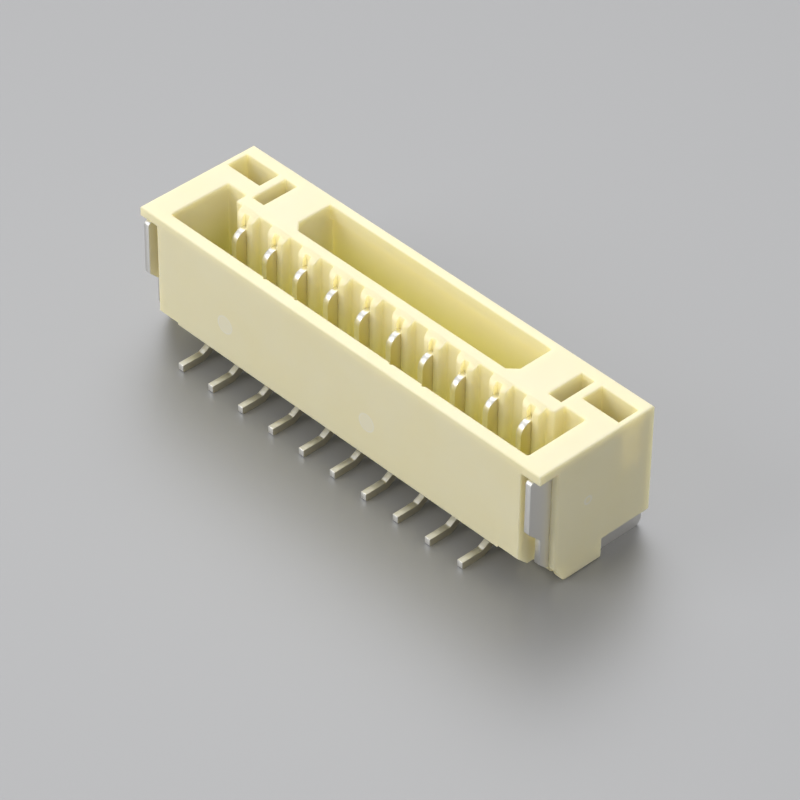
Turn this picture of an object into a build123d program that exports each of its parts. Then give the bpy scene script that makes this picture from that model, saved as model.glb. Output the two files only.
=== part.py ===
# A ten-way surface-mount header for a 1.25 mm wire-to-board connector, seen upright on its board.
#
# One moulded nylon housing carries ten stamped contacts and two solder tabs, each a piece of its own.
# X runs along the row, the contact tails point to -Y, +Z is up and the board plane is z = 0.
# The origin lies in the board plane, under the middle of the housing. All sizes are in millimetres.
# A depth is a distance behind the front face, and a height is a distance above the board.

import os
from math import radians, tan

from build123d import *

# Row of contacts
CIRCUITS = 10
PITCH = 1.25

# Outside of the housing
END_MARGIN = 2.25           # centre of the last contact to the end face
BODY_DEPTH = 4.25           # front face to back face
TOP_HEIGHT = 4.25           # height of the top face
TOP_EDGE_ROUND = 0.05       # soft moulded edges of the top face, outside and round its openings

# Underside
FRONT_UNDERSIDE = 0.90      # height of the lower edge of the front wall
REAR_UNDERSIDE = 0.68       # height of the lower edge of the back wall
UNDERSIDE_STEP = 2.56       # depth of the step between the two levels
FLOOR_THICKNESS = 0.50      # plastic under the two sockets

# Mating socket, open at the top
FRONT_WALL = 0.40
SOCKET_END_WALL = 0.855     # end face to the socket's end
BAY_LENGTH = 0.75           # deeper bay at each end of the comb wall
BAY_STEP = 0.39             # how far a bay reaches behind the wall between the bosses
SOCKET_CORNER_ROUND = 0.06
GUIDE_GROOVE_RADIUS = 0.08
GUIDE_GROOVE_CONTACTS = (3, 4, 7, 8)

# Comb wall that holds the contact blades
BOSS_FACE = 1.84            # depth of the front of the bosses
BOSS_REACH = 0.29           # how far the bosses stand out of the wall between them
BOSS_WIDTH = 0.70
BOSS_CORNER_ROUND = 0.18    # upright outer corners of the bosses
BOSS_FOOT_ROUND = 0.06      # upright corners where the bosses meet the wall between them
BOSS_ROLL = 0.38            # radius with which the boss fronts roll over into the top face
BLADE_SEAT = 0.16           # how far the blade slot goes into the boss

# Latch socket behind the comb wall
LATCH_FRONT_WALL = 0.36     # plastic between the bosses' wall and the latch socket
LATCH_BACK_WALL = 0.30
LATCH_END_MARGIN = 3.525    # end face to the latch socket
LATCH_CORNER = 0.27
LATCH_LEDGE_DEPTH = 0.50    # top face down to the underside of the catch ledge
LATCH_UNDERCUT = 0.08

# Core pockets in the rear corners, which keep the walls thin
CORE_DEPTH = 1.60
CORE_BACK_WALL = 0.42
CORE_END_WALL = 0.195       # end face to the wide pocket
CORE_DIVIDER = 0.29         # plastic between the two pockets
WIDE_CORE_SHARE = 0.56      # part of the plastic behind a bay that the wide pocket takes
NARROW_CORE_LENGTH = 0.46
NARROW_CORE_SIDE = 0.20     # end of the comb wall to the narrow pocket
NARROW_CORE_FRONT = 0.45    # wall between the bosses to the narrow pocket

# End block with its front corner recess and moulded foot
END_BLOCK_LENGTH = 1.475    # end face to the inner side of the block
END_UNDERSIDE = 0.97        # height of the lower edge of its front
SHOULDER_HEIGHT = 0.60      # height of the level behind the cut lower edge
FOOT_FRONT = 0.74           # depth where the foot starts down from the shoulder
FOOT_SLOPE_RUN = 0.27       # how far back the foot's front slopes on its way down
FOOT_BACK = 2.45            # depth of the back of the foot
FOOT_CLEARANCE = 0.05       # foot stops this far above the board
FOOT_ROUND = 0.25
LIP_THICKNESS = 0.30        # top lip over the recess
RECESS_LENGTH = 0.705       # end face to the side of the recess
RECESS_DEPTH = 0.68
SKIN_EDGE_ROUND = 0.08      # front edge of the outer skin beside the recess

# Stamped contact, a flat profile of one sheet thickness
CONTACT_THICKNESS = 0.20
BLADE_REACH = 0.38          # mating edge of the blade in front of the boss face
TIP_DROP = 0.46             # top face down to the tip of the blade
TIP_ROUND = 0.37
TAIL_REACH = 0.60           # tail end in front of the front face
TAIL_FLAT_END = 0.15        # depth of the bend of the tail
TAIL_HEIGHT = 0.25
TAIL_CORNER_ROUND = 0.06
RISER_ANGLE = 30.0
BEND_ROUND = 0.10
BASE_HEIGHT = 0.35
BARB_SIZE = 0.03

# Stamped solder tab, a flat profile of one sheet thickness
TAB_THICKNESS = 0.20
TAB_SKIN = 0.225            # outer skin of the housing beside the tab's slot
TAB_WING_REACH = 0.09       # wing edge in front of the front face
TAB_WING_ROUND = 0.12
TAB_WING_HEIGHT = 1.76
TAB_WING_BACK = 1.55        # depth of the back of the wing
TAB_LEG_FRONT = 0.35        # depth of the front of the leg under the wing
TAB_LEG_CHAMFER = 0.25
TAB_ARM_BOTTOM = 0.60       # height of the arm's lower edge
TAB_ARM_TOP = 1.75
TAB_ARM_BACK = 3.70         # depth of the back of the arm
TAB_FOOT_GAP = 0.05         # back of the moulded foot to the front of the tab's foot
TAB_FOOT_BACK = 4.24
TAB_FOOT_ROUND = 0.25

# Fits
BLADE_CLEARANCE = 0.01      # each side of a blade in its slot
TAB_CLEARANCE = 0.01        # each side of a tab in its slot
BASE_CLEARANCE = 0.04       # contact base to the step behind it
LIP_CLEARANCE = 0.03        # tab wing to the lip above it
TAB_END_CLEARANCE = 0.04    # back edges of a tab to the ends of their slot

# Cuts run this far past an open face
OVERSHOOT = 1.0

# Two places closer than this count as one
NEARLY = 0.001

# Worked out from the sizes above
ROW_LENGTH = (CIRCUITS - 1) * PITCH
END_FACE = ROW_LENGTH / 2 + END_MARGIN
FLOOR_TOP = FRONT_UNDERSIDE + FLOOR_THICKNESS
CHANNEL_FACE = BOSS_FACE + BOSS_REACH
BAY_BACK = CHANNEL_FACE + BAY_STEP
SLOT_BACK = BOSS_FACE + BLADE_SEAT
BLADE_FACE = BOSS_FACE - BLADE_REACH
BLADE_BACK = SLOT_BACK - BARB_SIZE
SOCKET_HALF = END_FACE - SOCKET_END_WALL
COMB_HALF = SOCKET_HALF - BAY_LENGTH
TAB_SLOT_WIDTH = TAB_THICKNESS + 2 * TAB_CLEARANCE
TAB_PLANE = END_FACE - TAB_SKIN - TAB_SLOT_WIDTH / 2
WING_TOP = TOP_HEIGHT - LIP_THICKNESS - LIP_CLEARANCE


def from_front(depth):
    """Y of a place given by its depth behind the front face."""
    return depth - BODY_DEPTH / 2


def block(x_range, depth_range, z_range):
    """A box between two values on each axis, its second pair given as depths."""
    x0, x1 = x_range
    d0, d1 = depth_range
    z0, z1 = z_range
    middle = ((x0 + x1) / 2, from_front((d0 + d1) / 2), (z0 + z1) / 2)
    return Pos(*middle) * Box(x1 - x0, d1 - d0, z1 - z0)


def side_plate(outline, x_middle, thickness):
    """A plate seen from the side, from corners given as (depth, height, corner radius)."""
    face = make_face(Polyline(*[(from_front(depth), z) for depth, z, radius in outline], close=True))
    for depth, z, radius in outline:
        if radius > 0:
            corner = face.vertices().sort_by_distance((from_front(depth), z))[0]
            face = fillet(corner, radius)
    return extrude(Plane.YZ.offset(x_middle) * face, thickness / 2, both=True)


def plan(x_range, depth_range):
    """A flat rectangle seen from above, between two values of X and two depths."""
    x0, x1 = x_range
    d0, d1 = depth_range
    return Pos((x0 + x1) / 2, from_front((d0 + d1) / 2)) * Rectangle(x1 - x0, d1 - d0)


def open_above(outline, floor_z):
    """The space over a flat outline, from a floor up past the top face."""
    return Pos(0, 0, floor_z) * extrude(outline, TOP_HEIGHT + OVERSHOOT - floor_z)


def corners_at(outline, depth):
    """The corners of a flat outline that lie at a depth."""
    y = from_front(depth)
    return outline.vertices().filter_by_position(Axis.Y, y - NEARLY, y + NEARLY)


def contact_places():
    """X of every contact, from left to right."""
    return [(number - (CIRCUITS - 1) / 2) * PITCH for number in range(CIRCUITS)]


def both_ends(shape):
    """The shape and its mirror image at the other end of the row."""
    return shape + mirror(shape, about=Plane.YZ)


def body_blank():
    """The outside of the housing: a stepped middle block between two footed end blocks."""
    middle_half = END_FACE - END_BLOCK_LENGTH
    front = block((-middle_half, middle_half), (0, UNDERSIDE_STEP), (FRONT_UNDERSIDE, TOP_HEIGHT))
    rear = block((-middle_half, middle_half), (UNDERSIDE_STEP, BODY_DEPTH), (REAR_UNDERSIDE, TOP_HEIGHT))
    end_outline = [
        (0, TOP_HEIGHT, 0),
        (0, END_UNDERSIDE, 0),
        (END_UNDERSIDE - SHOULDER_HEIGHT, SHOULDER_HEIGHT, 0),
        (FOOT_FRONT, SHOULDER_HEIGHT, 0),
        (FOOT_FRONT + FOOT_SLOPE_RUN, FOOT_CLEARANCE, FOOT_ROUND),
        (FOOT_BACK, FOOT_CLEARANCE, 0),
        (FOOT_BACK, REAR_UNDERSIDE, 0),
        (BODY_DEPTH, REAR_UNDERSIDE, 0),
        (BODY_DEPTH, TOP_HEIGHT, 0),
    ]
    end = side_plate(end_outline, END_FACE - END_BLOCK_LENGTH / 2, END_BLOCK_LENGTH)
    return front + rear + both_ends(end)


def mating_socket():
    """The long socket: it leaves the comb wall with its round bosses between two deeper end bays."""
    outline = plan((-SOCKET_HALF, SOCKET_HALF), (FRONT_WALL, BAY_BACK))
    outline -= plan((-COMB_HALF, COMB_HALF), (CHANNEL_FACE, BAY_BACK))
    for x_middle in contact_places():
        x_range = (x_middle - BOSS_WIDTH / 2, x_middle + BOSS_WIDTH / 2)
        outline -= plan(x_range, (BOSS_FACE, CHANNEL_FACE))
    outline = fillet(corners_at(outline, BOSS_FACE), BOSS_CORNER_ROUND)
    outline = fillet(corners_at(outline, CHANNEL_FACE), BOSS_FOOT_ROUND)
    outline = fillet(corners_at(outline, FRONT_WALL) + corners_at(outline, BAY_BACK), SOCKET_CORNER_ROUND)
    return open_above(outline, FLOOR_TOP)


def guide_groove(x_middle):
    """An upright half-round groove in the back of the front wall."""
    outline = Pos(x_middle, from_front(FRONT_WALL)) * Circle(GUIDE_GROOVE_RADIUS)
    return open_above(outline, FLOOR_TOP)


def boss_roll():
    """What is cut off the tops of the bosses, so that their fronts roll over into the top face."""
    roll_back = BOSS_FACE + BOSS_ROLL
    roll_start = TOP_HEIGHT - BOSS_ROLL
    waste = block((-COMB_HALF, COMB_HALF), (BLADE_FACE, roll_back), (roll_start, TOP_HEIGHT + OVERSHOOT))
    rod = Rot(0, 90, 0) * Cylinder(BOSS_ROLL, 2 * COMB_HALF)
    return waste - Pos(0, from_front(roll_back), roll_start) * rod


def blade_slot(x_middle):
    """The slot for one blade, open at the front and the top of its boss and through the floor."""
    half = CONTACT_THICKNESS / 2 + BLADE_CLEARANCE
    x_range = (x_middle - half, x_middle + half)
    in_boss = block(x_range, (BLADE_FACE, SLOT_BACK), (FLOOR_TOP, TOP_HEIGHT + OVERSHOOT))
    in_floor = block(x_range, (BLADE_FACE - BARB_SIZE, SLOT_BACK), (0, FLOOR_TOP))
    return in_boss + in_floor


def latch_socket():
    """The socket for the plug's latch, with cut front corners and a catch ledge on the back wall."""
    half = END_FACE - LATCH_END_MARGIN
    back = BODY_DEPTH - LATCH_BACK_WALL
    outline = plan((-half, half), (CHANNEL_FACE + LATCH_FRONT_WALL, back))
    outline = chamfer(outline.vertices().group_by(Axis.Y)[0], LATCH_CORNER)
    ledge_z = TOP_HEIGHT - LATCH_LEDGE_DEPTH
    undercut = block((-half, half), (back - LATCH_UNDERCUT, back + LATCH_UNDERCUT), (FLOOR_TOP, ledge_z))
    return open_above(outline, FLOOR_TOP) + undercut


def core_pockets():
    """A wide and a narrow blind pocket in each rear corner."""
    back = BODY_DEPTH - CORE_BACK_WALL
    narrow_end = COMB_HALF - NARROW_CORE_SIDE
    narrow = plan((narrow_end - NARROW_CORE_LENGTH, narrow_end), (CHANNEL_FACE + NARROW_CORE_FRONT, back))
    wide_width = WIDE_CORE_SHARE * (back - BAY_BACK)
    wide = plan((narrow_end + CORE_DIVIDER, END_FACE - CORE_END_WALL), (back - wide_width, back))
    return both_ends(open_above(wide + narrow, TOP_HEIGHT - CORE_DEPTH))


def corner_recess():
    """The recess under the top lip at each front corner, which leaves a round edge on the outer skin."""
    height = TOP_HEIGHT - LIP_THICKNESS
    side = END_FACE - RECESS_LENGTH
    recess = block((side, END_FACE + OVERSHOOT), (-OVERSHOOT, RECESS_DEPTH), (0, height))
    edge_front = from_front(RECESS_DEPTH)
    edge_back = edge_front + SKIN_EDGE_ROUND
    edge_side = END_FACE - SKIN_EDGE_ROUND
    waste = Polyline((edge_side, edge_front), (END_FACE, edge_front), (END_FACE, edge_back))
    waste += RadiusArc((END_FACE, edge_back), (edge_side, edge_front), SKIN_EDGE_ROUND)
    return both_ends(recess + extrude(make_face(waste), height))


def tab_slot():
    """The slot that takes one solder tab, open below and towards the recess, at each end."""
    x_range = (TAB_PLANE - TAB_SLOT_WIDTH / 2, TAB_PLANE + TAB_SLOT_WIDTH / 2)
    wing = block(x_range, (0, TAB_WING_BACK + TAB_END_CLEARANCE), (0, WING_TOP + LIP_CLEARANCE))
    arm = block(x_range, (0, TAB_ARM_BACK + TAB_END_CLEARANCE), (0, TAB_ARM_TOP))
    return both_ends(wing + arm)


def make_housing():
    """The moulded housing, one solid."""
    housing = body_blank() - mating_socket() - latch_socket() - core_pockets()
    housing = fillet(housing.faces().sort_by(Axis.Z)[-1].edges(), TOP_EDGE_ROUND)
    housing -= boss_roll()
    for number, x_middle in enumerate(contact_places(), start=1):
        housing -= blade_slot(x_middle)
        if number in GUIDE_GROOVE_CONTACTS:
            housing -= guide_groove(x_middle)
    housing -= corner_recess()
    housing -= tab_slot()
    return housing


def make_contact(x_middle):
    """One stamped contact: flat tail, sloping riser, base bar and barbed blade with a round tip."""
    rise = tan(radians(RISER_ANGLE))
    base_top = FRONT_UNDERSIDE
    base_bottom = base_top - BASE_HEIGHT
    base_back = UNDERSIDE_STEP - BASE_CLEARANCE
    heel = TAIL_FLAT_END + TAIL_HEIGHT * tan(radians(RISER_ANGLE / 2))
    tip_z = TOP_HEIGHT - TIP_DROP
    barb_z = (FRONT_UNDERSIDE + FLOOR_TOP) / 2
    outline = [
        (BLADE_FACE, tip_z, TIP_ROUND),
        (BLADE_BACK, tip_z, 0),
        (BLADE_BACK, barb_z + BARB_SIZE, 0),
        (SLOT_BACK, barb_z, 0),
        (BLADE_BACK, barb_z - BARB_SIZE, 0),
        (BLADE_BACK, base_top, 0),
        (base_back, base_top, 0),
        (base_back, base_bottom, 0),
        (heel + base_bottom / rise, base_bottom, BEND_ROUND),
        (heel, 0, BEND_ROUND),
        (-TAIL_REACH, 0, TAIL_CORNER_ROUND),
        (-TAIL_REACH, TAIL_HEIGHT, 0),
        (TAIL_FLAT_END, TAIL_HEIGHT, BEND_ROUND),
        (TAIL_FLAT_END + (base_top - TAIL_HEIGHT) / rise, base_top, 0),
        (BLADE_FACE, base_top, 0),
        (BLADE_FACE, barb_z - BARB_SIZE, 0),
        (BLADE_FACE - BARB_SIZE, barb_z, 0),
        (BLADE_FACE, barb_z + BARB_SIZE, 0),
    ]
    return side_plate(outline, x_middle, CONTACT_THICKNESS)


def make_tab(x_middle):
    """One solder tab: front wing, leg, arm up in the slot and foot on the board."""
    wing_bottom = WING_TOP - TAB_WING_HEIGHT
    foot_front = FOOT_BACK + TAB_FOOT_GAP
    outline = [
        (-TAB_WING_REACH, WING_TOP, TAB_WING_ROUND),
        (-TAB_WING_REACH, wing_bottom, TAB_WING_ROUND),
        (TAB_LEG_FRONT, wing_bottom - TAB_LEG_FRONT - TAB_WING_REACH, TAB_WING_ROUND),
        (TAB_LEG_FRONT, TAB_ARM_BOTTOM + TAB_LEG_CHAMFER, 0),
        (TAB_LEG_FRONT + TAB_LEG_CHAMFER, TAB_ARM_BOTTOM, 0),
        (foot_front, TAB_ARM_BOTTOM, 0),
        (foot_front, 0, 0),
        (TAB_FOOT_BACK, 0, TAB_FOOT_ROUND),
        (TAB_FOOT_BACK, REAR_UNDERSIDE, 0),
        (TAB_ARM_BACK, REAR_UNDERSIDE, 0),
        (TAB_ARM_BACK, TAB_ARM_TOP, 0),
        (TAB_WING_BACK, TAB_ARM_TOP, 0),
        (TAB_WING_BACK, WING_TOP, 0),
    ]
    return side_plate(outline, x_middle, TAB_THICKNESS)


def main():
    os.makedirs("parts", exist_ok=True)
    export_step(make_housing(), "parts/housing.step")
    for number, x_middle in enumerate(contact_places(), start=1):
        export_step(make_contact(x_middle), f"parts/contact_{number:02d}.step")
    export_step(make_tab(-TAB_PLANE), "parts/solder_tab_left.step")
    export_step(make_tab(TAB_PLANE), "parts/solder_tab_right.step")


main()
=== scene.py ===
# %% [markdown]
# # A wire-to-board header, dressed for its portrait
#
# The object is an upright surface-mount header: one moulded nylon housing, a row of stamped blade
# contacts and two solder tabs. Its shape is already there, because the CAD model was measured from the
# photograph. This lesson loads that model as a fixed frame and gives it what CAD leaves out: softly
# rounded moulded edges, nylon that light soaks into, and tin-plated metal with rolled and sheared faces.

import math

import bpy
from mathutils import Euler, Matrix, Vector


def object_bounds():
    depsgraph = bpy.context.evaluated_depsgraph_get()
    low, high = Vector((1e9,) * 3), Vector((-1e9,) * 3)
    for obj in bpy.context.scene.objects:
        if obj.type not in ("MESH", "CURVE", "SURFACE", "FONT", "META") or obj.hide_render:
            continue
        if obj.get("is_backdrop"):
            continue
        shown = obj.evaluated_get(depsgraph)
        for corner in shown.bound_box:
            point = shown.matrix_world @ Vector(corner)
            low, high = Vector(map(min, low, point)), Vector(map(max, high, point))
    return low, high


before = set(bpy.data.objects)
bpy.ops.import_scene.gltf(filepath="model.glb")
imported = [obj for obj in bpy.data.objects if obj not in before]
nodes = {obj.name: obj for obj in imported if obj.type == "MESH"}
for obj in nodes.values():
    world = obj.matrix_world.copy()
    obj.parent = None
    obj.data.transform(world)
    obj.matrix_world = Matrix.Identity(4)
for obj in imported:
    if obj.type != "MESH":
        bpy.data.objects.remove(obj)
cad_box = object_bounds()

MM = 0.001

housing = nodes["housing"]
contacts = [nodes[name] for name in sorted(nodes) if name.startswith("contact")]
tabs = [nodes[name] for name in sorted(nodes) if name.startswith("solder_tab")]
size = [round((high - low) / MM, 2) for low, high in zip(*cad_box)]
print("pieces:", len(nodes), "size in millimetres:", size)

# %% [markdown]
# ## The camera
#
# The photograph was taken from the front right and above with a long lens, so parallel edges stay nearly
# parallel. Solving the row of contacts and the housing's edges for a pinhole camera gave its place, its
# turn and its lens, so none of them has to be tuned by eye.

# %% Put the camera where the photographer stood
LENS_MM = 188.24
SENSOR_MM = 36.0
CAMERA_PLACE_MM = (64.015, -61.297, 74.663)
CAMERA_TURN_DEGREES = (50.209, -0.560, 46.516)
NEAREST_SEEN = 0.005
FARTHEST_SEEN = 5.0


def add_to_scene(name, data):
    """A new object that shows its data in the scene."""
    thing = bpy.data.objects.new(name, data)
    bpy.context.scene.collection.objects.link(thing)
    return thing


camera_data = bpy.data.cameras.new("portrait_lens")
camera_data.lens = LENS_MM
camera_data.sensor_width = SENSOR_MM
camera_data.clip_start = NEAREST_SEEN
camera_data.clip_end = FARTHEST_SEEN
camera = add_to_scene("portrait_camera", camera_data)
camera.location = Vector(CAMERA_PLACE_MM) * MM
camera.rotation_euler = Euler([math.radians(angle) for angle in CAMERA_TURN_DEGREES])
bpy.context.scene.camera = camera
bpy.context.scene.view_settings.view_transform = "Standard"
print("camera stands", round(camera.location.length / MM, 1), "mm from the part's origin")

# %% [markdown]
# ## The table and the light
#
# The part stands on a plain pale table with a satin sheen. One broad soft lamp hangs behind it on the
# left, which makes the top face the brightest, leaves the front and the end in soft shade and lays a
# gentle shadow towards the viewer. The satin table mirrors that lamp faintly, so it is darker where the
# part hides the lamp. A weak lamp in front and a plain pale room fill the shade.
#
# A number that is the same all over a surface is set on the shader's own socket, as it is for the table.

# %% Lay the table
TABLE_REACH = 0.6
TABLE_CORNERS = ((-1, -1), (1, -1), (1, 1), (-1, 1))
TABLE_COLOUR = (0.345, 0.347, 0.356, 1.0)
TABLE_ROUGHNESS = 0.42
TABLE_METAL = 0.25
TABLE_SHEEN = 1.0


def new_finish(name, roughness, metallic=0.0, ior=1.5):
    """A node material with its Principled shader, the constants set on the shader's own sockets."""
    finish = bpy.data.materials.new(name)
    finish.use_nodes = True
    shader = finish.node_tree.nodes["Principled BSDF"]
    shader.inputs["Roughness"].default_value = roughness
    shader.inputs["Metallic"].default_value = metallic
    shader.inputs["IOR"].default_value = ior
    return finish, finish.node_tree, shader


table_mesh = bpy.data.meshes.new("table")
corners = [(x * TABLE_REACH, y * TABLE_REACH, 0.0) for x, y in TABLE_CORNERS]
table_mesh.from_pydata(corners, [], [(0, 1, 2, 3)])
table = add_to_scene("table", table_mesh)
table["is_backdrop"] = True

table_paint, tree, shader = new_finish("table_paint", TABLE_ROUGHNESS, TABLE_METAL)
shader.inputs["Base Color"].default_value = TABLE_COLOUR
shader.inputs["Specular IOR Level"].default_value = TABLE_SHEEN
table_mesh.materials.append(table_paint)
print("table reaches", TABLE_REACH, "m each way")

# %% Hang the lamps and fill the room
LAMP_TARGET_MM = (0, 0, 2)
SOFTBOX_PLACE_MM = (-95, 92, 165)
SOFTBOX_SIDE_MM = 180
SOFTBOX_WATTS = 0.195
FILL_PLACE_MM = (-60, -110, 75)
FILL_SIDE_MM = 80
FILL_WATTS = 0.072
ROOM_COLOUR = (1.0, 1.0, 1.0, 1.0)
ROOM_LEVEL = 0.55


def hang_lamp(name, place_mm, side_mm, watts):
    """A square soft lamp at a place, turned to the part; lengths are in millimetres."""
    data = bpy.data.lights.new(name, "AREA")
    data.size = side_mm * MM
    data.energy = watts
    lamp = add_to_scene(name, data)
    lamp.location = Vector(place_mm) * MM
    aim = Vector(LAMP_TARGET_MM) * MM - lamp.location
    lamp.rotation_euler = aim.to_track_quat("-Z", "Y").to_euler()
    print("lamp", name, "hangs at", place_mm, "mm")


hang_lamp("overhead_softbox", SOFTBOX_PLACE_MM, SOFTBOX_SIDE_MM, SOFTBOX_WATTS)
hang_lamp("front_fill", FILL_PLACE_MM, FILL_SIDE_MM, FILL_WATTS)

room = bpy.data.worlds.new("pale_room")
room.use_nodes = True
bpy.context.scene.world = room
room_light = room.node_tree.nodes["Background"]
room_light.inputs["Color"].default_value = ROOM_COLOUR
room_light.inputs["Strength"].default_value = ROOM_LEVEL
print("room level", ROOM_LEVEL)

# %% [markdown]
# ## Effects that several finishes share
#
# Fine grain is on everything here: on nylon it is the mould's polish, on tin plate the tooth of the
# plating. It is built once as a node group with named inputs, and each material places it with its own
# size and stretch. The grain is worked out from the object's own coordinates, which are the CAD's, so it
# keeps its real size and stays put when the part moves.

# %% Helpers that build node groups
FLOAT = "NodeSocketFloat"
VECTOR = "NodeSocketVector"


def start_group(name, inputs, outputs):
    """A node group with named inputs and float outputs; gives it with the sockets at both its ends."""
    group = bpy.data.node_groups.new(name, "ShaderNodeTree")
    for label, kind, value in inputs:
        socket = group.interface.new_socket(label, in_out="INPUT", socket_type=kind)
        socket.default_value = value
    for label in outputs:
        group.interface.new_socket(label, in_out="OUTPUT", socket_type=FLOAT)
    start = group.nodes.new("NodeGroupInput")
    end = group.nodes.new("NodeGroupOutput")
    return group, start.outputs, end.inputs


def feed(tree, source, socket):
    """Joins a source to a socket, or sets the socket where the source is a plain value."""
    if isinstance(source, bpy.types.NodeSocket):
        tree.links.new(source, socket)
    else:
        socket.default_value = source


def add_operation(tree, kind, operation, sources):
    """A node that works out one operation, fed with sockets or plain values."""
    node = tree.nodes.new(kind)
    node.operation = operation
    for source, socket in zip(sources, node.inputs):
        feed(tree, source, socket)
    return node


def add_math(tree, operation, *sources, clamp=False):
    """A Math node; gives its output socket."""
    node = add_operation(tree, "ShaderNodeMath", operation, sources)
    node.use_clamp = clamp
    return node.outputs[0]


def own_place(tree):
    """The place of each point in the object's own coordinates, in metres."""
    return tree.nodes.new("ShaderNodeTexCoord").outputs["Object"]


def split_axes(tree, vector):
    """The X, Y and Z of a vector, each as a socket."""
    split = tree.nodes.new("ShaderNodeSeparateXYZ")
    feed(tree, vector, split.inputs[0])
    return split.outputs


print("group helpers ready")

# %% The grain group
grain_group, start, end = start_group(
    "fine_grain",
    [
        ("Grains per mm", FLOAT, 10.0),
        ("Stretch", VECTOR, (1.0, 1.0, 1.0)),
        ("Detail", FLOAT, 3.0),
    ],
    ["Value"],
)
sources = (own_place(grain_group), start["Stretch"])
stretched = add_operation(grain_group, "ShaderNodeVectorMath", "MULTIPLY", sources)
grain = grain_group.nodes.new("ShaderNodeTexNoise")
feed(grain_group, stretched.outputs["Vector"], grain.inputs["Vector"])
feed(grain_group, add_math(grain_group, "DIVIDE", start["Grains per mm"], MM), grain.inputs["Scale"])
feed(grain_group, start["Detail"], grain.inputs["Detail"])
feed(grain_group, grain.outputs["Fac"], end["Value"])
print("group", grain_group.name, "with", len(grain_group.nodes), "nodes")

# %% [markdown]
# ## Sheared edges
#
# Contacts and tabs are stamped from strip. Their broad faces keep the smooth rolled skin of the strip,
# and the edges that the punch cut are rougher and show fine lines along the punch's travel. The strip
# stands across the row, so a face whose normal points along X is rolled, and every other face is cut.
# The group turns that normal into a mask, and both metals use it.

# %% The sheared-edge group
ROLLED_LIMIT = 0.8

sheared_group, start, end = start_group("sheared_edge", [("Softness", FLOAT, 0.2)], ["Mask"])
normal = sheared_group.nodes.new("ShaderNodeNewGeometry").outputs["Normal"]
sideways = add_math(sheared_group, "ABSOLUTE", split_axes(sheared_group, normal)["X"])
away = add_math(sheared_group, "SUBTRACT", ROLLED_LIMIT, sideways)
feed(sheared_group, add_math(sheared_group, "DIVIDE", away, start["Softness"], clamp=True), end["Mask"])
print("group", sheared_group.name, "with", len(sheared_group.nodes), "nodes")

# %% [markdown]
# ## Moulding marks
#
# The mould leaves faint marks on the outer faces, where its small round inserts ended: a thin ring, and on
# the front a slightly paler disc inside it. That paleness is partly painted highlight, for the light that
# the raised mark catches. A ring is where the distance from a centre on the face is close to a radius, and
# a disc is where it is smaller, so the group needs only that centre, the radius, the width of the line and
# the strength of the disc. The rings are also raised a little, so the group gives them as a mask of their
# own.

# %% The moulding-mark group
mark_group, start, end = start_group(
    "moulding_mark",
    [
        ("Centre", VECTOR, (0.0, 0.0, 0.0)),
        ("Radius", FLOAT, 0.25 * MM),
        ("Line", FLOAT, 0.05 * MM),
        ("Disc", FLOAT, 0.35),
    ],
    ["Mask", "Ring"],
)
sources = (own_place(mark_group), start["Centre"])
distance = add_operation(mark_group, "ShaderNodeVectorMath", "DISTANCE", sources).outputs["Value"]
off_ring = add_math(mark_group, "SUBTRACT", distance, start["Radius"])
off_share = add_math(mark_group, "DIVIDE", add_math(mark_group, "ABSOLUTE", off_ring), start["Line"])
ring = add_math(mark_group, "SUBTRACT", 1.0, off_share, clamp=True)
inward_line = add_math(mark_group, "MULTIPLY", start["Line"], -1.0)
inward = add_math(mark_group, "DIVIDE", off_ring, inward_line, clamp=True)
disc = add_math(mark_group, "MULTIPLY", inward, start["Disc"])
feed(mark_group, add_math(mark_group, "MAXIMUM", ring, disc), end["Mask"])
feed(mark_group, ring, end["Ring"])
print("group", mark_group.name, "with", len(mark_group.nodes), "nodes")

# %% [markdown]
# ## Painted glow deep inside a socket
#
# Deep in a socket the light has gone through much plastic before it reaches the eye, so the walls turn
# from cream to gold towards the floor. Part of that comes from the glow of the material by itself, and
# part is painted glow: a mask paints the gold into the colour, so that a model without glow shows it too.
# The mask grows with the depth below the top face, and only inside a box that holds the opening.

# %% The painted socket-glow group
painted_glow_group, start, end = start_group(
    "painted_socket_glow",
    [
        ("Half length", FLOAT, 7.1 * MM),
        ("Front", FLOAT, -2.0 * MM),
        ("Back", FLOAT, 2.0 * MM),
        ("Top", FLOAT, 3.5 * MM),
        ("Bottom", FLOAT, 1.2 * MM),
        ("Fade", FLOAT, 1.6 * MM),
    ],
    ["Mask"],
)
along, across, up = split_axes(painted_glow_group, own_place(painted_glow_group))
sunk = add_math(painted_glow_group, "SUBTRACT", start["Top"], up)
inside = add_math(painted_glow_group, "DIVIDE", sunk, start["Fade"], clamp=True)
for low, high in (
    (add_math(painted_glow_group, "ABSOLUTE", along), start["Half length"]),
    (start["Front"], across),
    (across, start["Back"]),
    (start["Bottom"], up),
):
    inside = add_math(painted_glow_group, "MULTIPLY", inside, add_math(painted_glow_group, "LESS_THAN", low, high))
feed(painted_glow_group, inside, end["Mask"])
print("group", painted_glow_group.name, "with", len(painted_glow_group.nodes), "nodes")

# %% [markdown]
# ## Natural nylon
#
# The housing is undyed nylon, a cream plastic that light goes into for some tenths of a millimetre before
# it comes out again. That is why thin lips and walls glow and why the upper parts of the side faces are
# brighter than their lower parts. Subsurface scattering does this. Of Blender's methods, the random walk
# is the more exact, but it shows the hidden arm of each solder tab as a dark shape through the thin end
# skin, which the photograph doesn't show, so this material uses the simpler method, which spreads the
# light over the surface. A faint cloudiness and a very fine grain keep it from looking like wax.

# %% Small helpers for materials
def place_group(tree, group, **values):
    """Places a node group and sets its inputs, with _ for the spaces in their names; gives its outputs."""
    node = tree.nodes.new("ShaderNodeGroup")
    node.node_tree = group
    for label, value in values.items():
        node.inputs[label.replace("_", " ")].default_value = value
    return node.outputs


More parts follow.
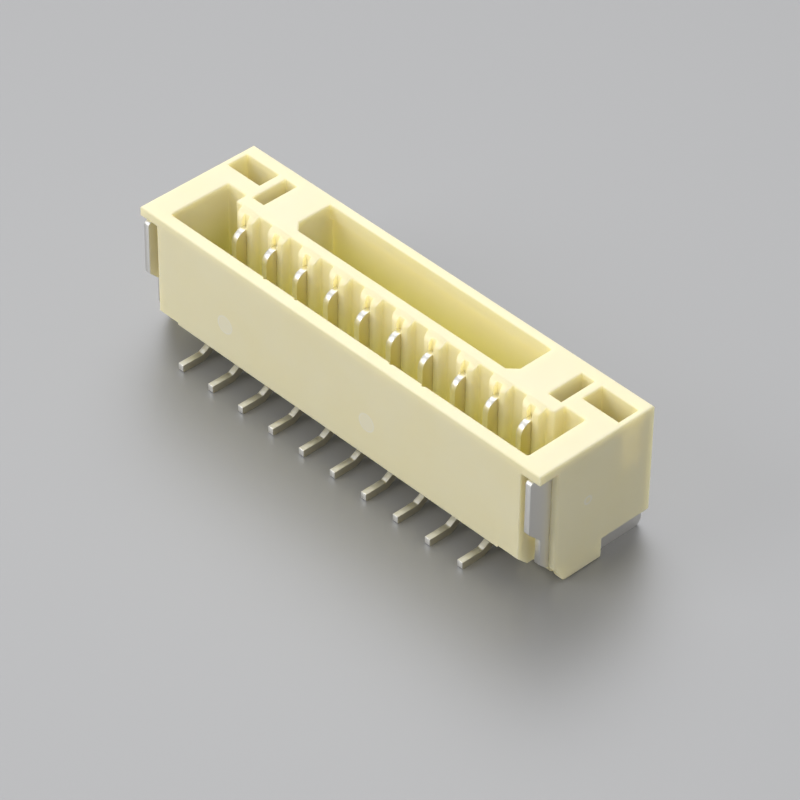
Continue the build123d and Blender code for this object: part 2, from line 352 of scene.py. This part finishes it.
def blend_colours(tree, mask, first, second):
    """Mixes two colours by a mask; gives the colour socket."""
    mix = tree.nodes.new("ShaderNodeMix")
    mix.data_type = "RGBA"
    first_slot, second_slot = [socket for socket in mix.inputs if socket.type == "RGBA"]
    feed(tree, first, first_slot)
    feed(tree, second, second_slot)
    feed(tree, mask, mix.inputs["Factor"])
    return [socket for socket in mix.outputs if socket.type == "RGBA"][0]


def map_range(tree, source, old, new):
    """Maps a value from one range to another, clamped; gives the result socket."""
    node = tree.nodes.new("ShaderNodeMapRange")
    feed(tree, source, node.inputs["Value"])
    for label, value in zip(("From Min", "From Max", "To Min", "To Max"), (*old, *new)):
        node.inputs[label].default_value = value
    return node.outputs["Result"]


def raise_grain(tree, shader, height, distance, strength):
    """Turns a value into a bump of a real height in metres."""
    bump = tree.nodes.new("ShaderNodeBump")
    bump.inputs["Distance"].default_value = distance
    bump.inputs["Strength"].default_value = strength
    feed(tree, height, bump.inputs["Height"])
    feed(tree, bump.outputs["Normal"], shader.inputs["Normal"])


def dress(pieces, finish):
    """Gives each piece one finish in place of its own."""
    for piece in pieces:
        piece.data.materials.clear()
        piece.data.materials.append(finish)


print("material helpers ready")

# %% The nylon's glow
NYLON_ROUGHNESS = 0.42
NYLON_IOR = 1.53
NYLON_SHEEN = 0.85
GLOW_DEPTH = 0.4 * MM
GLOW_SHARES = (1.0, 0.92, 0.55)

nylon, tree, shader = new_finish("natural_nylon", NYLON_ROUGHNESS, ior=NYLON_IOR)
shader.inputs["Specular IOR Level"].default_value = NYLON_SHEEN
shader.subsurface_method = "BURLEY"
shader.inputs["Subsurface Weight"].default_value = 1.0
shader.inputs["Subsurface Radius"].default_value = GLOW_SHARES
shader.inputs["Subsurface Scale"].default_value = GLOW_DEPTH
print("nylon glows to a depth of", GLOW_DEPTH / MM, "mm")

# %% [markdown]
# The colour starts as two creams that mix in soft clouds, and a painted glow turns it to gold in the
# depth of each opening.
# Two boxes hold the openings, each given by its half length, its front and its back in millimetres. The
# first holds the two sockets, and the second the core pockets behind the mating socket, which reach
# nearer to the ends.

# %% The nylon's colour and its painted glow
NYLON = (0.955, 0.885, 0.585, 1.0)
NYLON_CLOUD = (0.95, 0.872, 0.55, 1.0)
CLOUDS_PER_MM = 0.5
CLOUD_MIDDLE = (0.35, 0.65)
WHOLE = (0.0, 1.0)
PAINTED_GLOW_GOLD = (0.995, 0.955, 0.46, 1.0)
SOCKETS = ((7.1, -1.95, 2.0), (7.78, 0.0, 2.0))

cloud = place_group(tree, grain_group, Grains_per_mm=CLOUDS_PER_MM, Detail=2.0)["Value"]
colour = blend_colours(tree, map_range(tree, cloud, CLOUD_MIDDLE, WHOLE), NYLON, NYLON_CLOUD)
depth = 0.0
for half_length, front, back in SOCKETS:
    box = place_group(tree, painted_glow_group, Half_length=half_length * MM, Front=front * MM, Back=back * MM)
    depth = add_math(tree, "MAXIMUM", box["Mask"], depth)
# Painted glow: deep in each opening the colour itself turns gold, standing in for light that has gone
# through the plastic.
colour = blend_colours(tree, depth, colour, PAINTED_GLOW_GOLD)
print("gold inside", len(SOCKETS), "boxes")

# %% [markdown]
# Each mark is given by its centre and its radius in millimetres and by the strength of its disc. Two are
# on the front, and a small one without a disc is on the right end. The polish is fine noise, which varies
# the roughness a little and raises the surface by a few thousandths of a millimetre.

# %% The nylon's marks and polish
MARK_HIGHLIGHT_COLOUR = (0.97, 0.95, 0.85, 1.0)
MARKS = (
    ((-4.39, -2.125, 2.07), 0.27, 0.5),
    ((1.34, -2.125, 2.07), 0.27, 0.5),
    ((7.875, -0.27, 2.39), 0.12, 0.0),
)
MARK_HIGHLIGHT_PAINT = 0.7
MARK_RELIEF = 1.5
GRAIN_MIDDLE = (0.3, 0.7)
POLISH_PER_MM = 12.0
POLISH_ROUGHNESS = (0.36, 0.48)
POLISH_HEIGHT = 0.004 * MM
POLISH_STRENGTH = 0.35

marks = rings = 0.0
for centre, radius, disc in MARKS:
    mark = place_group(tree, mark_group, Centre=Vector(centre) * MM, Radius=radius * MM, Disc=disc)
    marks = add_math(tree, "MAXIMUM", mark["Mask"], marks)
    rings = add_math(tree, "MAXIMUM", mark["Ring"], rings)
# Painted highlight, in part: the marks are made paler where the raised mark would catch the light.
colour = blend_colours(tree, add_math(tree, "MULTIPLY", marks, MARK_HIGHLIGHT_PAINT), colour, MARK_HIGHLIGHT_COLOUR)
feed(tree, colour, shader.inputs["Base Color"])

polish = place_group(tree, grain_group, Grains_per_mm=POLISH_PER_MM, Detail=3.0)["Value"]
feed(tree, map_range(tree, polish, GRAIN_MIDDLE, POLISH_ROUGHNESS), shader.inputs["Roughness"])
relief = add_math(tree, "ADD", polish, add_math(tree, "MULTIPLY", rings, MARK_RELIEF))
raise_grain(tree, shader, relief, POLISH_HEIGHT, POLISH_STRENGTH)
dress([housing], nylon)
print("nylon material with", len(tree.nodes), "nodes")

# %% [markdown]
# ## Tin plate
#
# Contacts and tabs are copper alloy under tin. The contacts are bright tin, so their rolled sides mirror
# the golden plastic next to them, and that gold is also painted into their side colour as a painted
# reflection; their cut edges catch the lamp in a broken, speckled line. The tabs are matt tin, greyer and
# softer. One recipe makes both, with different values.

# %% The two plated finishes
CUT_SOFTNESS = 0.2
TOOTH_PER_MM = 14.0
TOOTH_SPREAD = (-0.12, 0.12)
LINES_PER_MM = 30.0
LINE_STRETCH = (0.15, 1.0, 1.0)
CUT_HEIGHT = 0.004 * MM
CUT_STRENGTH = 0.5
CUT_ROUGHNESS = 0.42
# Painted reflection: the bright side colour is tinted gold for the golden plastic that the rolled sides
# mirror.
BRIGHT_SIDE_PAINTED_GOLD = (0.84, 0.79, 0.63, 1.0)
BRIGHT_CUT = (0.90, 0.89, 0.84, 1.0)
BRIGHT_ROUGHNESS = 0.28
MATT_SIDE = (0.90, 0.885, 0.85, 1.0)
MATT_CUT = (0.92, 0.91, 0.87, 1.0)
MATT_ROUGHNESS = 0.45


def tin_plate(name, side_colour, cut_colour, roughness):
    """Tin plate with smooth rolled faces and lined cut edges."""
    finish, tree, shader = new_finish(name, roughness, metallic=1.0)
    cut = place_group(tree, sheared_group, Softness=CUT_SOFTNESS)["Mask"]
    tooth = place_group(tree, grain_group, Grains_per_mm=TOOTH_PER_MM, Detail=4.0)["Value"]
    lines = place_group(tree, grain_group, Grains_per_mm=LINES_PER_MM, Stretch=LINE_STRETCH)["Value"]
    feed(tree, blend_colours(tree, cut, side_colour, cut_colour), shader.inputs["Base Color"])
    spread = add_math(tree, "MULTIPLY", map_range(tree, tooth, GRAIN_MIDDLE, TOOTH_SPREAD), cut)
    level = map_range(tree, cut, WHOLE, (roughness, CUT_ROUGHNESS))
    feed(tree, add_math(tree, "ADD", level, spread), shader.inputs["Roughness"])
    height = add_math(tree, "MULTIPLY", add_math(tree, "ADD", tooth, lines), cut)
    raise_grain(tree, shader, height, CUT_HEIGHT, CUT_STRENGTH)
    return finish


dress(contacts, tin_plate("bright_tin", BRIGHT_SIDE_PAINTED_GOLD, BRIGHT_CUT, BRIGHT_ROUGHNESS))
dress(tabs, tin_plate("matt_tin", MATT_SIDE, MATT_CUT, MATT_ROUGHNESS))
print("plated", len(contacts), "contacts and", len(tabs), "tabs")

# %% [markdown]
# ## Soft edges
#
# No moulded or stamped edge is a knife edge. The CAD keeps most edges sharp, so each piece gets a short
# chain of modifiers, which leave its own mesh alone: Weld joins the faces' shared corners, Decimate
# dissolves the triangles of each flat face, Bevel rounds what is left by a few hundredths of a millimetre,
# and Weighted Normal keeps the flat faces flat to the eye.

# %% Round the edges with modifiers
JOIN_REACH = 0.0005 * MM
FLAT_ANGLE = math.radians(0.5)
EDGE_ANGLE = math.radians(50)
NYLON_EDGE_MM = 0.035
NYLON_EDGE_STEPS = 3
METAL_EDGE_MM = 0.012
METAL_EDGE_STEPS = 2


def soften(piece, radius_mm, steps):
    """Rounds a CAD piece's edges by a radius, without changing its shape."""
    weld = piece.modifiers.new("join_corners", "WELD")
    weld.merge_threshold = JOIN_REACH
    flat = piece.modifiers.new("dissolve_flats", "DECIMATE")
    flat.decimate_type = "DISSOLVE"
    flat.angle_limit = FLAT_ANGLE
    round_edges = piece.modifiers.new("round_edges", "BEVEL")
    round_edges.width = radius_mm * MM
    round_edges.segments = steps
    round_edges.limit_method = "ANGLE"
    round_edges.angle_limit = EDGE_ANGLE
    round_edges.use_clamp_overlap = True
    shade = piece.modifiers.new("even_shading", "WEIGHTED_NORMAL")
    shade.keep_sharp = True
    for polygon in piece.data.polygons:
        polygon.use_smooth = True


soften(housing, NYLON_EDGE_MM, NYLON_EDGE_STEPS)
for piece in contacts + tabs:
    soften(piece, METAL_EDGE_MM, METAL_EDGE_STEPS)
print("edges rounded on", 1 + len(contacts) + len(tabs), "pieces")

# %% [markdown]
# ## Check the size and close
#
# Blender must not change the part's dimensions.

# %% Compare both boxes and finish
visual_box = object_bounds()
growth = max(abs(a - b) for one, two in zip(cad_box, visual_box) for a, b in zip(one, two))
print("largest difference between the boxes:", round(growth / MM, 4), "mm")
